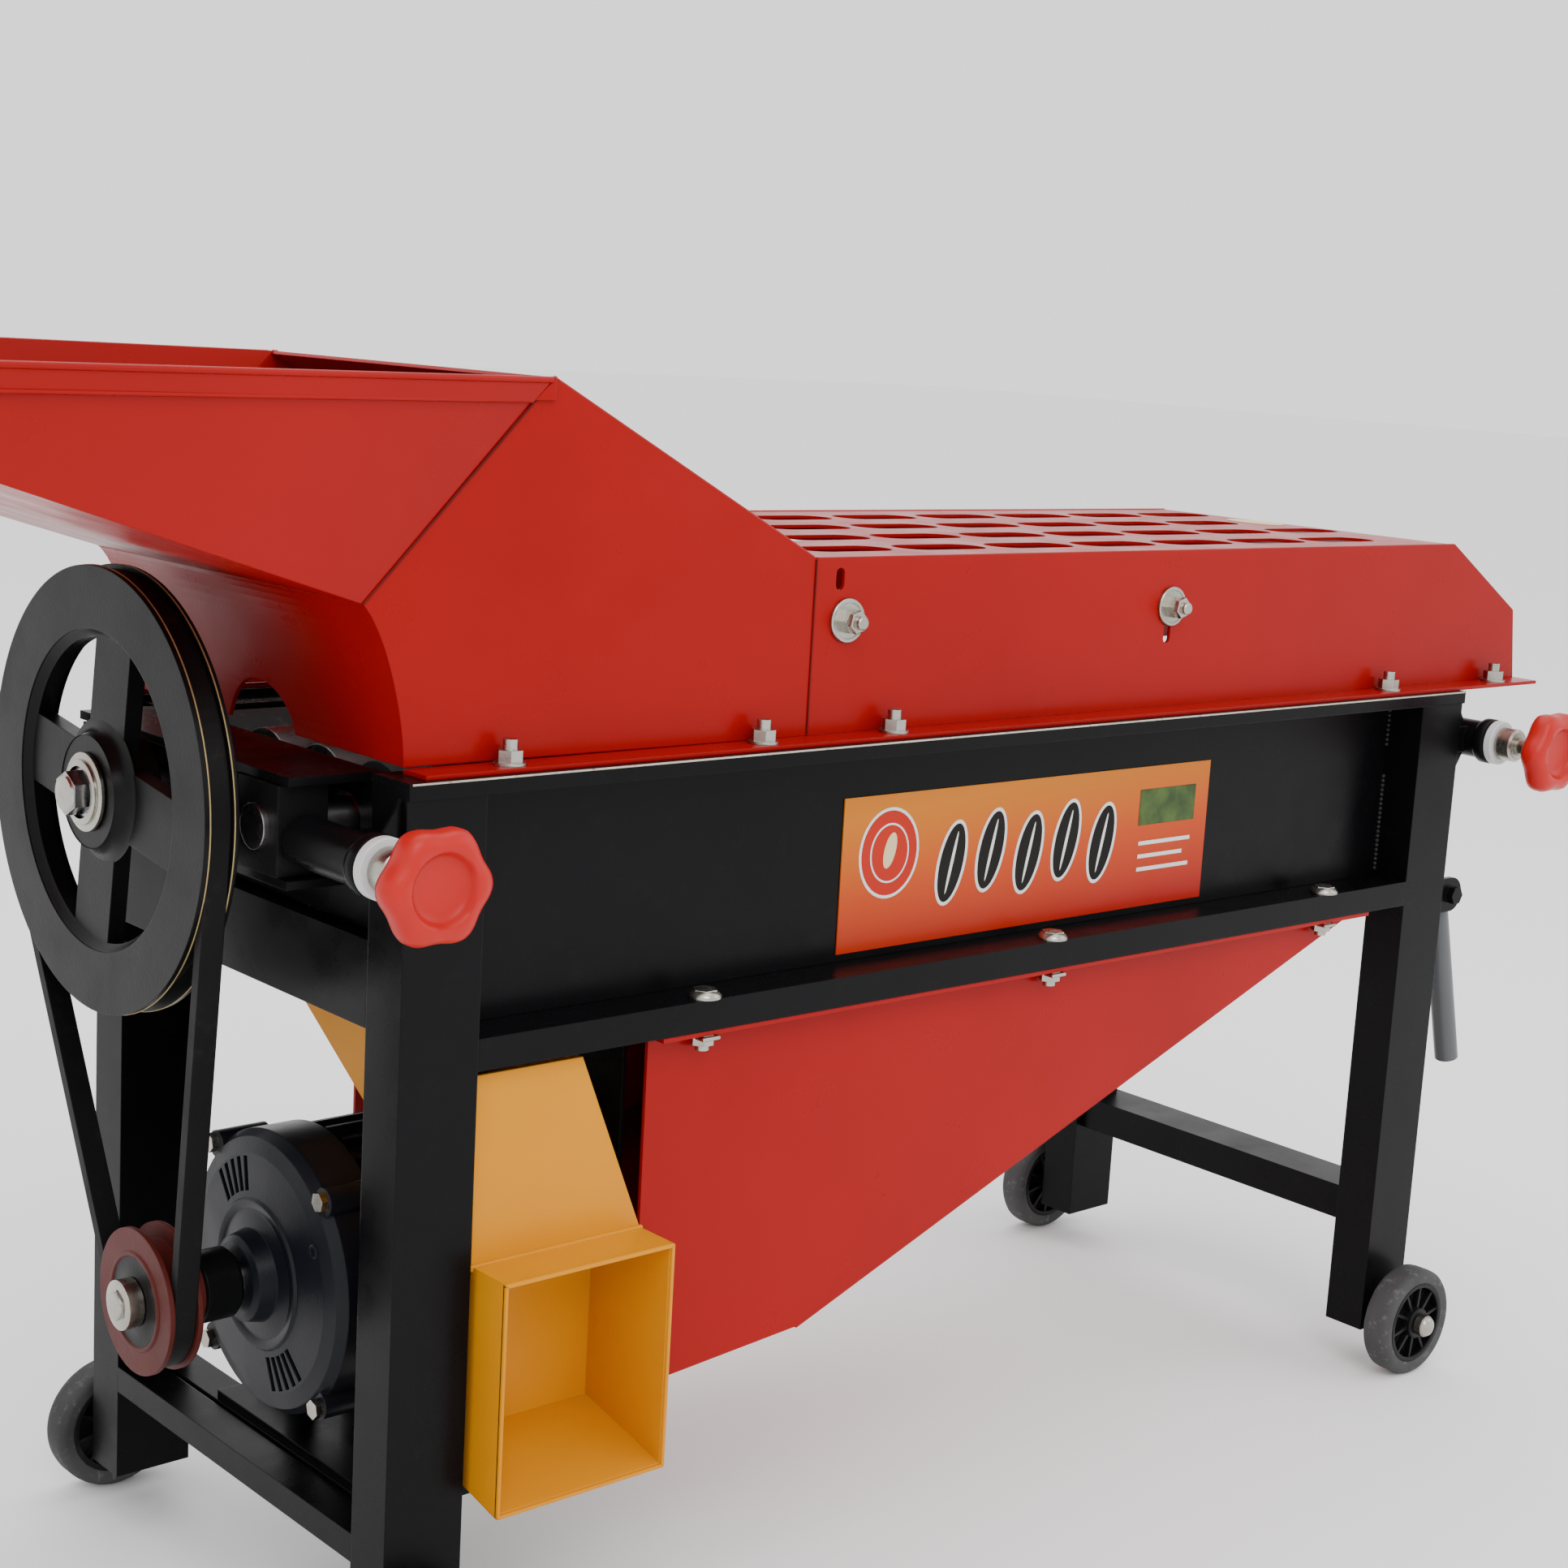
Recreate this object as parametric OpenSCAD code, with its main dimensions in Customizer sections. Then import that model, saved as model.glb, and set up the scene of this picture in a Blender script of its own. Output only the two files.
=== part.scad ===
// Corn husking and shelling machine on a wheeled stand, driven by an electric motor and a belt.
// X runs from the feed end to the ear outlet, Y from front to rear and Z up from the floor.
// Every module is drawn from the front left corner of the stand and moved to the row's origin by placed().

/* [Stand] */
// Length of the stand over the legs
frame_l = 1130; // [1080:10:1180]
// Width of the stand over the legs
frame_w = 410; // [400:2:430]
// Height of the black side channels' top
channel_top = 638; // [630:1:650]
// Size of a leg along X
leg_x = 60; // [50:1:60]
// Size of a leg along Y
leg_y = 40; // [36:1:40]
// Wall of the leg tubes and of the folded channels
wall = 3; // [2:0.5:3]
// Clearance of the leg ends over the floor
leg_clear = 36; // [30:1:40]

/* [Wheels] */
// Diameter of the transport wheels
wheel_d = 100; // [90:2:100]
// Width of the transport wheels
wheel_w = 30; // [24:1:30]
// Diameter of the axle bolts
axle_d = 12; // [10:1:14]

/* [Rollers] */
// Distance from one roller's axis to the next
roller_pitch = 72; // [72:1:73]
// Diameter of the four husking rollers
roller_d = 70; // [66:1:70]
// Height of the roller axes
roller_z = 598; // [598:1:600]
// Diameter of the three plain roller shafts
shaft_d = 30; // [25:1:30]
// Diameter of the driven shaft
main_shaft_d = 35; // [32:1:36]
// Teeth of each roller gear
gear_teeth = 24; // [24:1:24]

/* [Drive] */
// Diameter of the large pulley
pulley_d = 300; // [280:5:300]
// Diameter of the motor pulley
small_pulley_d = 100; // [90:1:100]
// Width of both pulleys
pulley_w = 24; // [22:1:26]
// Width of the belt
belt_w = 16; // [14:0.5:16]
// Thickness of the belt
belt_t = 8; // [7:0.5:9]
// Diameter of the motor's end bell
motor_d = 200; // [190:2:200]

/* [Housings] */
// Height of the perforated cover's top
cover_top = 768; // [750:2:780]
// Height of the feed hopper's rim
rim_z = 888; // [870:2:900]
// Thickness of the red and yellow sheet
sheet = 3; // [2:0.5:3]
// Length of one oval hole in the cover
hole_l = 88; // [70:2:96]
// Width of one oval hole in the cover
hole_w = 38; // [30:2:44]

/* [Hidden] */

// clearances
run = 0.05;
loose = 0.5;

// ends of the machine along X
hopper_end = -430;
cover_end = 1254;
mid_x = (hopper_end - sheet + cover_end) / 2;
mid_y = frame_w / 2;

// roller axes, from front to rear
front_y = mid_y - 1.5 * roller_pitch;
inner_y = front_y + roller_pitch;
main_y = inner_y + roller_pitch;
rear_y = main_y + roller_pitch;
roller_x0 = 40;
roller_x1 = 1075;
gear_x = 1082;
gear_w = 20;
gear_module = roller_pitch / gear_teeth;

// end plates and the parts on them
plate_x = 14;
plate_t = 6;
plate_z0 = 532;
plate_z1 = 634;
block_w = 50;
block_h = 59;
block_t = 36;
adjust_x = 30;
adjust_z = 592;
adjust_tube_d = 34;
screw_d = 16;
knob_far = 90;
knob_t = 30;

// channel, rail and beams
web_y = 36;
rail_z0 = 444;
rail_z1 = 466;
beam_z0 = 472;
beam_z1 = 530;
brace_z0 = 105;
brace_z1 = 125;
right_brace_z0 = 131;
right_brace_z1 = 163;

// drive
pulley_x = -88;
motor_y = 175;
motor_z = 262;
motor_x0 = 18;
bell_len = 32;
bell_x0 = -14;
stator_x1 = 150;
fan_x1 = 196;
belt_x = pulley_x + (pulley_w - belt_w) / 2;
belt_sink = 3;
motor_shaft_d = 28;
motor_plate_z = brace_z1;

// sheet housings
wall_y = 30;
flange_y = 4;
flange_z = channel_top + sheet;
throat_x1 = 355;
corner = [-17, 746];
seam_top = [119, rim_z];
cover_bevel = [1138, cover_top];
cover_chin = [1243, 705];
flare_y = -70;
floor_rise = 0.3;
rim_h = 16;
press_x = [387, 745];
press_z = 723;
stud_x = [88, 303, 429, 1037, 1201];
stud_y = 17;
rail_bolt_x = [255, 610, 960];
rail_bolt_y = 9;
tray_y = 18;
tray_x0 = 214;
tray_outline = [[tray_x0, 440], [1019, 440], [372, 194], [255, 185], [tray_x0, 182]];
chute_x0 = 66;
chute_x1 = 206;
chute_mouth_y = -30;
chute_back_y = 8;
chute_z0 = 145;
chute_z1 = 308;
chute_top_z = 438;
chute_top_x1 = 152;
handle_x = 1150;
handle_y = 22;
handle_z = 445;
handle_l = 175;
handle_tilt = 16;

$fn = 64;

// ---------- helpers ----------

// moves a part from the stand's front left corner to the row's origin
module placed() translate([-mid_x, -mid_y, 0]) children();

// repeats a part on the rear side
module both_sides() {
    children();
    translate([0, frame_w, 0]) mirror([0, 1, 0]) children();
}

// repeats a part at the other end of the stand
module both_ends() {
    children();
    translate([frame_l, 0, 0]) mirror([1, 0, 0]) children();
}

// a box between two corners
module box(a, b) translate(a) cube(b - a);

// a round bar along X, and one along Y
module bar_x(x0, x1, y, z, d) translate([x0, y, z]) rotate([0, 90, 0]) cylinder(h = x1 - x0, d = d);
module bar_y(y0, y1, x, z, d) translate([x, y1, z]) rotate([90, 0, 0]) cylinder(h = y1 - y0, d = d);

// an XZ outline carried along Y, and a YZ outline carried along X
module along_y(y0, y1) translate([0, y1, 0]) rotate([90, 0, 0]) linear_extrude(y1 - y0) children();
module along_x(x0, x1) translate([x0, 0, 0]) rotate([90, 0, 90]) linear_extrude(x1 - x0) children();

// a hexagon bar along Z and one along Y
module hex_z(x, y, z, h, d) translate([x, y, z]) cylinder(h = h, d = d, $fn = 6);
module hex_y(x, y, z, h, d) translate([x, y + h, z]) rotate([90, 0, 0]) cylinder(h = h, d = d, $fn = 6);

// a block with flat sides between two outlines of four corners each, both listed the same way round
module block(p, q) polyhedron(
    points = concat(p, q),
    faces = [[0, 1, 2, 3], [7, 6, 5, 4], [0, 4, 5, 1], [1, 5, 6, 2], [2, 6, 7, 3], [3, 7, 4, 0]]
);

// a four-cornered outline in the XZ plane, with each corner's distance from the middle given by f
function side_points(xz, f, side) = [for (c = xz) [c[0], mid_y + side * (mid_y - f[0] - f[1] * side_lean(c)), c[1]]];

// a rectangular tube between two corners, hollow along the named axis
module tube(a, b, axis) {
    inset = [for (i = [0:2]) i == axis ? -1 : wall];
    difference() {
        box(a, b);
        box(a + inset, b - inset);
    }
}

// ---------- stand ----------

module leg(x) {
    difference() {
        tube([x, 0, leg_clear], [x + leg_x, leg_y, channel_top - wall], 2);
        bar_y(-1, wall + 1, x + leg_x / 2, wheel_d / 2, axle_d + 0.2);
    }
}

module left_legs() color("#232326") placed() both_sides() leg(0);

module right_legs() color("#232326") placed() both_sides() leg(frame_l - leg_x);

module side_panel() {
    lip = 2.5;
    difference() {
        union() {
            box([0, -lip, channel_top - wall], [frame_l, web_y + wall, channel_top]);
            box([0, -lip, channel_top - 11], [frame_l, -0.1, channel_top]);
            box([leg_x, web_y, rail_z1], [frame_l - leg_x, web_y + wall, channel_top]);
        }
        for (x = stud_x) if (x < frame_l)
            translate([x, stud_y, channel_top - 20]) cylinder(h = 40, d = 10.4);
    }
}

module side_panel_front() color("#1f1f22") placed() side_panel();

module side_panel_rear() color("#1f1f22") placed()
    translate([0, frame_w, 0]) mirror([0, 1, 0]) side_panel();

module side_rails() color("#1f1f22") placed() both_sides() difference() {
    tube([leg_x, 0, rail_z0], [frame_l - leg_x, web_y, rail_z1], 0);
    for (x = rail_bolt_x) translate([x, rail_bolt_y, rail_z0 - 1]) cylinder(h = 40, d = 10.4);
}

module crossbeams() color("#1f1f22") placed() both_ends()
    tube([0, leg_y, beam_z0], [leg_y, frame_w - leg_y, beam_z1], 1);

module lower_braces() color("#1f1f22") placed() {
    tube([0, leg_y, brace_z0], [28, frame_w - leg_y, brace_z1], 1);
    tube([32, leg_y, brace_z0], [leg_x, frame_w - leg_y, brace_z1], 1);
    tube([frame_l - 52, leg_y, right_brace_z0], [frame_l - 2, frame_w - leg_y, right_brace_z1], 1);
}

module motor_plate() color("#26262a") placed() difference() {
    union() {
        box([34, motor_y - 105, motor_plate_z], [198, motor_y + 105, motor_plate_z + 6]);
        for (y = [motor_y - 105, motor_y + 99])
            box([leg_x + 2, y, motor_plate_z - 15], [198, y + 6, motor_plate_z]);
    }
    for (x = motor_foot_x, y = motor_foot_y) slot_z(x, y, motor_plate_z - 1, 8, 26, 11);
}

// a slot along Y cut down through a plate
module slot_z(x, y, z, h, l, w) {
    for (s = [-1, 1]) translate([x, y + s * (l - w) / 2, z]) cylinder(h = h, d = w);
    translate([x - w / 2, y - (l - w) / 2, z]) cube([w, l - w, h]);
}

// ---------- end plates, bearings and adjusters ----------

module end_plate() {
    difference() {
        union() {
            box([plate_x, leg_y, plate_z0], [plate_x + plate_t, frame_w - leg_y, plate_z1]);
            for (z = [plate_z1 - 6, roller_z - block_h / 2 - 6.5])
                box([-46, front_y - 34, z], [plate_x, rear_y + 34, z + 6]);
        }
        for (y = [inner_y, main_y])
            bar_x(plate_x - 1, plate_x + 10, y, roller_z, main_shaft_d + 6);
        for (y = [front_y, rear_y], s = [-4, 0, 4])
            bar_x(plate_x - 1, plate_x + 10, y + s, roller_z, shaft_d + 6);
    }
}

module end_plate_left() color("#2a2a2e") placed() end_plate();

module end_plate_right() color("#2a2a2e") placed()
    translate([frame_l, 0, 0]) mirror([1, 0, 0]) end_plate();

module roller_bearing(y, bore) difference() {
    union() {
        bar_x(-30, plate_x, y, roller_z, 57);
        box([plate_x - 7, y - 33, roller_z - 28], [plate_x, y + 33, roller_z + 28]);
    }
    bar_x(-40, plate_x + 1, y, roller_z, bore + 2 * run);
}

module roller_bearings() color("#35363a") placed() both_ends() {
    roller_bearing(inner_y, shaft_d);
    roller_bearing(main_y, main_shaft_d);
}

module adjuster_tubes() color("#26262a") placed() both_sides() both_ends() difference() {
    union() {
        bar_y(-18, front_y - block_w / 2 - 5, -adjust_x, adjust_z, adjust_tube_d);
        box([-adjust_x, 4, adjust_z - 12], [0, 34, adjust_z + 12]);
    }
    bar_y(-19, front_y, -adjust_x, adjust_z, screw_d + 2 * run);
}

// a sliding housing at each end of a pressed roller, with a blind hole for its adjusting screw
module bearing_block() {
    y0 = front_y - block_w / 2;
    difference() {
        box(
            [-adjust_x - block_t / 2, y0, roller_z - block_h / 2],
            [-adjust_x + block_t / 2, y0 + block_w, roller_z + block_h / 2]
        );
        bar_x(-80, 0, front_y, roller_z, shaft_d + 2 * run);
        bar_y(y0 - 1, y0 + 8.5, -adjust_x, adjust_z, screw_d + 2 * run);
    }
}

module front_bearing_blocks() color("#3a3b40") placed() both_ends() bearing_block();

module rear_bearing_blocks() color("#3a3b40") placed()
    translate([0, frame_w, 0]) mirror([0, 1, 0]) both_ends() bearing_block();

module adjuster_screw() bar_y(-knob_far + 8, front_y - block_w / 2 + 3, -adjust_x, adjust_z, screw_d);

// a knob with six lobes and a round recess in its face
module knob() {
    lobes = 6;
    difference() {
        union() {
            bar_y(-knob_far, -knob_far + knob_t - 6, -adjust_x, adjust_z, 62);
            for (k = [0:lobes - 1])
                bar_y(
                    -knob_far, -knob_far + knob_t - 6,
                    -adjust_x + 28 * cos(k * 360 / lobes), adjust_z + 28 * sin(k * 360 / lobes), 20
                );
            bar_y(-knob_far, -knob_far + knob_t, -adjust_x, adjust_z, 34);
        }
        bar_y(-knob_far - 1, -knob_far + 5, -adjust_x, adjust_z, 34);
        bar_y(-knob_far + 8, 0, -adjust_x, adjust_z, screw_d);
    }
}

// the same part at another corner of the machine
module at_corner(rear, right) translate([right ? frame_l : 0, rear ? frame_w : 0, 0])
    mirror([right ? 1 : 0, 0, 0]) mirror([0, rear ? 1 : 0, 0]) children();

module knob_front_left() color("#e0463c") placed() at_corner(false, false) knob();
module knob_front_right() color("#e0463c") placed() at_corner(false, true) knob();
module knob_rear_left() color("#e0463c") placed() at_corner(true, false) knob();
module knob_rear_right() color("#e0463c") placed() at_corner(true, true) knob();
module screw_front_left() color("#b9bcc0") placed() at_corner(false, false) adjuster_screw();
module screw_front_right() color("#b9bcc0") placed() at_corner(false, true) adjuster_screw();
module screw_rear_left() color("#b9bcc0") placed() at_corner(true, false) adjuster_screw();
module screw_rear_right() color("#b9bcc0") placed() at_corner(true, true) adjuster_screw();

// ---------- rollers and gears ----------

module main_roller() color("#8d9094") placed() {
    bar_x(-96, frame_l + 45, main_y, roller_z, main_shaft_d);
    bar_x(roller_x0, roller_x1, main_y, roller_z, roller_d);
    translate([-108, main_y, roller_z]) rotate([0, 90, 0]) cylinder(h = 12, d = 30, $fn = 6);
}

module inner_roller() color("#8d9094") placed() {
    bar_x(-40, frame_l + 45, inner_y, roller_z, shaft_d);
    bar_x(roller_x0, roller_x1, inner_y, roller_z, roller_d);
}

module pressed_shaft(y) bar_x(-52, frame_l + 52, y, roller_z, shaft_d);

module pressed_sleeve(y) difference() {
    bar_x(roller_x0, roller_x1, y, roller_z, roller_d);
    bar_x(roller_x0 - 1, roller_x1 + 1, y, roller_z, shaft_d);
}

module front_roller_shaft() color("#8d9094") placed() pressed_shaft(front_y);
module rear_roller_shaft() color("#8d9094") placed() pressed_shaft(rear_y);
module front_roller_sleeve() color("#3b3b3d") placed() pressed_sleeve(front_y);
module rear_roller_sleeve() color("#3b3b3d") placed() pressed_sleeve(rear_y);

// a spur gear on an axis along X; phase is in tooth pitches
module gear(y, bore, phase) {
    m = gear_module;
    root_r = roller_pitch / 2 - 1.3 * m;
    tip_r = roller_pitch / 2 + 0.9 * m;
    translate([gear_x, y, roller_z]) rotate([90, 0, 90]) linear_extrude(gear_w) difference() {
        union() {
            circle(r = root_r);
            for (k = [0:gear_teeth - 1]) rotate((k + phase) * 360 / gear_teeth) polygon([
                [root_r - 1, -0.95 * m], [tip_r, -0.38 * m], [tip_r, 0.38 * m], [root_r - 1, 0.95 * m]
            ]);
        }
        circle(d = bore);
    }
}

module main_gear() color("#6f7276") placed() gear(main_y, main_shaft_d, 0);
module inner_gear() color("#6f7276") placed() gear(inner_y, shaft_d, 0.5);
module front_gear() color("#6f7276") placed() gear(front_y, shaft_d, 0);
module rear_gear() color("#6f7276") placed() gear(rear_y, shaft_d, 0.5);

// ---------- belt drive ----------

belt_r_big = pulley_d / 2 - belt_sink;
belt_r_small = small_pulley_d / 2 - belt_sink;

// outline of the belt at a depth below its outer face, in the YZ plane
module belt_outline(depth) hull() {
    translate([main_y, roller_z]) circle(r = belt_r_big - depth, $fn = 96);
    translate([motor_y, motor_z]) circle(r = belt_r_small - depth, $fn = 96);
}

module drive_belt() color("#17171a") placed() along_x(belt_x, belt_x + belt_w) difference() {
    belt_outline(0);
    belt_outline(belt_t);
}

// half section of a grooved rim, as radius against width
module rim_section(r_in, r_out) {
    groove_r = r_out - belt_sink - belt_t - 0.6;
    flank = (pulley_w - belt_w) / 2 - loose;
    polygon([
        [r_in, 0], [r_out, 0], [r_out, flank], [groove_r, flank],
        [groove_r, pulley_w - flank], [r_out, pulley_w - flank], [r_out, pulley_w], [r_in, pulley_w]
    ]);
}

module drive_pulley() color("#1c1c1f") placed()
    translate([pulley_x, main_y, roller_z]) rotate([0, 90, 0]) {
        rim_in = 108;
        rotate_extrude($fn = 128) rim_section(rim_in, pulley_d / 2);
        difference() {
            translate([0, 0, -4]) cylinder(h = 34, d = 76);
            translate([0, 0, -5]) cylinder(h = 40, d = main_shaft_d);
        }
        difference() {
            translate([0, 0, 6]) cylinder(h = 12, r = rim_in + 1);
            translate([0, 0, 5]) difference() {
                cylinder(h = 14, r = rim_in - 5);
                translate([0, 0, -1]) cylinder(h = 16, d = 74);
                for (a = [8, 98]) rotate(a) translate([-130, -24, -1]) cube([260, 48, 16]);
            }
            translate([0, 0, 5]) cylinder(h = 14, d = main_shaft_d + 2);
        }
    }

module motor_pulley() color("#7a3a33") placed()
    translate([pulley_x, motor_y, motor_z]) rotate([0, 90, 0]) {
        rotate_extrude() rim_section(motor_shaft_d / 2, small_pulley_d / 2);
        difference() {
            translate([0, 0, pulley_w]) cylinder(h = 16, d = 48);
            translate([0, 0, pulley_w - 1]) cylinder(h = 20, d = motor_shaft_d);
        }
    }

// ---------- motor ----------

motor_foot_x = [78, 126];
motor_foot_y = [motor_y - 84, motor_y + 84];
stator_d = 180;
fin_d = 194;
fins = 28;

module motor_housing() color("#1e1f23") placed() {
    x0 = motor_x0 + bell_len;
    difference() {
        union() {
            bar_x(x0, stator_x1, motor_y, motor_z, stator_d);
            for (k = [0:fins - 1]) translate([0, motor_y, motor_z]) rotate([k * 360 / fins, 0, 0])
                box([x0 + 6, stator_d / 2 - 3, -1.5], [stator_x1 - 6, fin_d / 2, 1.5]);
            for (x = motor_foot_x, s = [-1, 1]) {
                box(
                    [x - 14, motor_y + s * 76 - 24, motor_plate_z + 6],
                    [x + 14, motor_y + s * 76 + 24, motor_plate_z + 16]
                );
                box(
                    [x - 9, motor_y + s * 60 - 8, motor_plate_z + 6],
                    [x + 9, motor_y + s * 60 + 8, motor_z - 50]
                );
            }
        }
        bar_x(x0 - 1, stator_x1 + 1, motor_y, motor_z, stator_d - 20);
        for (x = motor_foot_x, y = motor_foot_y)
            translate([x, y, motor_plate_z]) cylinder(h = 30, d = 10.4);
    }
}

// drive-end bell: a deep turned cup with a shaft boss, vent slots and four bolt lugs
module motor_end_bell() color("#1b1c20") placed() difference() {
    union() {
        translate([bell_x0, motor_y, motor_z]) rotate([0, 90, 0]) rotate_extrude() polygon([
            [0, 0], [26, 0], [30, 3], [33, 15], [44, 17], [84, 20], [95, 23], [motor_d / 2, 30],
            [motor_d / 2, 64], [90, 64], [90, 38], [82, 29], [0, 26]
        ]);
        for (a = [45:90:315]) translate([motor_x0 - 7, motor_y, motor_z]) rotate([a, 0, 0])
            bar_x(0, 39, motor_d / 2 + 2, 0, 20);
    }
    bar_x(-20, 60, motor_y, motor_z, motor_shaft_d + 2 * run);
    for (a = [60, 240], k = [-2:2]) translate([bell_x0 + 12, motor_y, motor_z])
        rotate([a + k * 7, 0, 0]) box([0, 58, -2.5], [30, 82, 2.5]);
    for (a = [45:90:315]) translate([motor_x0, motor_y, motor_z]) rotate([a, 0, 0])
        bar_x(-14, 40, motor_d / 2 + 4, 0, 8.4);
}

module motor_fan_cover() color("#1b1c20") placed() difference() {
    bar_x(stator_x1, fan_x1, motor_y, motor_z, 186);
    bar_x(stator_x1 - 1, fan_x1 - 3, motor_y, motor_z, 180);
    for (r = [24:16:72], k = [0:11]) translate([0, motor_y, motor_z]) rotate([k * 30, 0, 0])
        bar_x(fan_x1 - 5, fan_x1 + 1, r, 0, 7 + r / 20);
}

module terminal_box() color("#1e1f23") placed() {
    y0 = motor_y + fin_d / 2;
    difference() {
        box([72, y0, motor_z - 32], [132, y0 + 42, motor_z + 32]);
        box([75, y0 + 3, motor_z - 29], [129, y0 + 39, motor_z + 29]);
        translate([102, y0 + 21, motor_z - 40]) cylinder(h = 20, d = 16);
    }
}

module motor_bolts() color("#b9bcc0") placed() {
    for (x = motor_foot_x, y = motor_foot_y) {
        hex_z(x, y, motor_plate_z + 18, 7, 19);
        translate([x, y, motor_plate_z + 16]) cylinder(h = 2, d = 22);
        translate([x, y, motor_plate_z - 12]) cylinder(h = 34, d = 10);
        hex_z(x, y, motor_plate_z - 9, 8, 19);
    }
    for (a = [45:90:315]) translate([motor_x0, motor_y, motor_z]) rotate([a, 0, 0]) {
        bar_x(-13, 32, motor_d / 2 + 4, 0, 8);
        translate([-13, motor_d / 2 + 4, 0]) rotate([0, 90, 0]) cylinder(h = 6, d = 14, $fn = 6);
    }
}

module motor_rotor() color("#8d9094") placed() {
    bar_x(pulley_x - 4, 186, motor_y, motor_z, motor_shaft_d);
    bar_x(62, 140, motor_y, motor_z, 110);
    bar_x(162, 176, motor_y, motor_z, 150);
    translate([pulley_x - 14, motor_y, motor_z]) rotate([0, 90, 0]) cylinder(h = 12, d = 22, $fn = 6);
}

// ---------- sheet housings ----------

// how far a point of the hopper's side is past the throat's seam, from 0 at the seam to 1 at the feed end's rim
seam_slope = (seam_top[1] - corner[1]) / (seam_top[0] - corner[0]);
function side_lean(c) = (c[1] - corner[1] - seam_slope * (c[0] - corner[0]))
    / (seam_slope * (seam_top[0] - hopper_end));
function floor_z(x) = corner[1] + (corner[0] - x) * floor_rise;

// the hopper's outline carried between its two flaring sides, set in by t
module hopper_block(xz, t) block(
    side_points(xz, [wall_y + t, flare_y - wall_y], -1),
    side_points(xz, [wall_y + t, flare_y - wall_y], 1)
);

// the feed hopper flares from the throat to its feed end, with a folded rim round its open top
module feed_hopper() color("#c8352c") placed() difference() {
    union() {
        hopper_block([[hopper_end, floor_z(hopper_end)], [hopper_end, rim_z], seam_top, corner], 0);
        hopper_block([
            [hopper_end - sheet, rim_z - rim_h], [hopper_end - sheet, rim_z], seam_top, seam_top - [rim_h, rim_h]
        ], -3);
    }
    hopper_block([
        [hopper_end + sheet, floor_z(hopper_end) + sheet],
        [hopper_end + sheet, rim_z + 30],
        [seam_top[0] + 60, rim_z + 30],
        [corner[0] + 30, floor_z(corner[0] + 30) + sheet]
    ], sheet);
}

// curved end of the throat, from its foot up to the hopper's floor
function throat_curve(inset) = [
    for (t = [0:0.0625:1]) let (a = 90 * t) [
        16 + inset - 33 * (1 - cos(a)) * (1 - inset / 60), 642 + 104 * sin(a) * (0.55 + 0.45 * t)
    ]
];

module throat_housing() color("#c8352c") placed() {
    top_slope = (cover_top - rim_z) / (throat_x1 - seam_top[0]);
    top_drop = sheet * sqrt(1 + top_slope * top_slope);
    difference() {
        along_y(wall_y, frame_w - wall_y) polygon(concat(
            throat_curve(0), [seam_top, [throat_x1, cover_top], [throat_x1, flange_z]]
        ));
        along_y(wall_y + sheet, frame_w - wall_y - sheet) polygon(concat(
            [[19, 600]], throat_curve(sheet),
            [
                [-60, corner[1]], [60, rim_z - top_drop + top_slope * (60 - seam_top[0])],
                [400, rim_z - top_drop + top_slope * (400 - seam_top[0])], [400, 600]
            ]
        ));
        translate([0, mid_y, roller_z + 30]) rotate([0, 90, 0]) translate([0, 0, -40])
            cylinder(h = 80, r = 46);
    }
    both_sides() stud_flange(16, throat_x1);
}

// a flange along the foot of a housing, drilled for the studs that it covers
module stud_flange(x0, x1) difference() {
    box([x0, flange_y, channel_top], [x1, wall_y, flange_z]);
    for (x = stud_x) translate([x, stud_y, channel_top - 1]) cylinder(h = 10, d = 10.4);
}

module roller_cover() color("#c8352c") placed() {
    difference() {
        along_y(wall_y, frame_w - wall_y) polygon([
            [throat_x1, flange_z], [throat_x1, cover_top], cover_bevel, cover_chin, [cover_end, flange_z]
        ]);
        along_y(wall_y + sheet, frame_w - wall_y - sheet) polygon([
            [throat_x1 - 10, 600], [throat_x1 - 10, cover_top - sheet], cover_bevel - [1, sheet],
            cover_chin - [1, sheet], [cover_end + 30, 698], [cover_end + 30, 600]
        ]);
        cover_holes();
        for (x = press_x) bar_y(-1, frame_w + 1, x, press_z, 12.4);
        for (y = [wall_y - 1, frame_w - wall_y - sheet - 1]) {
            slot_y(press_x[0] - 8, y, press_z + 30, 5, 16, 8);
            slot_y(press_x[1] - 2, y, press_z - 22, 5, 16, 8);
        }
    }
    both_sides() stud_flange(throat_x1, cover_end);
}

// an upright slot cut through a side wall
module slot_y(x, y, z, h, l, w) {
    for (s = [-1, 1]) bar_y(y, y + h, x, z + s * (l - w) / 2, w);
    box([x - w / 2, y, z - (l - w) / 2], [x + w / 2, y + h, z + (l - w) / 2]);
}

// four staggered rows of seven oval holes
module cover_holes() {
    rows = 4;
    cols = 7;
    pitch_x = 100.5;
    pitch_y = 78;
    for (r = [0:rows - 1], c = [0:cols - 1]) {
        x = throat_x1 + 78 + c * pitch_x + (r % 2) * pitch_x / 2;
        y = mid_y + (r - (rows - 1) / 2) * pitch_y;
        for (s = [-1, 1]) translate([x + s * (hole_l - hole_w) / 2, y, cover_top - 8])
            cylinder(h = 12, d = hole_w);
        box(
            [x - (hole_l - hole_w) / 2, y - hole_w / 2, cover_top - 8],
            [x + (hole_l - hole_w) / 2, y + hole_w / 2, cover_top + 4]
        );
    }
}

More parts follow.
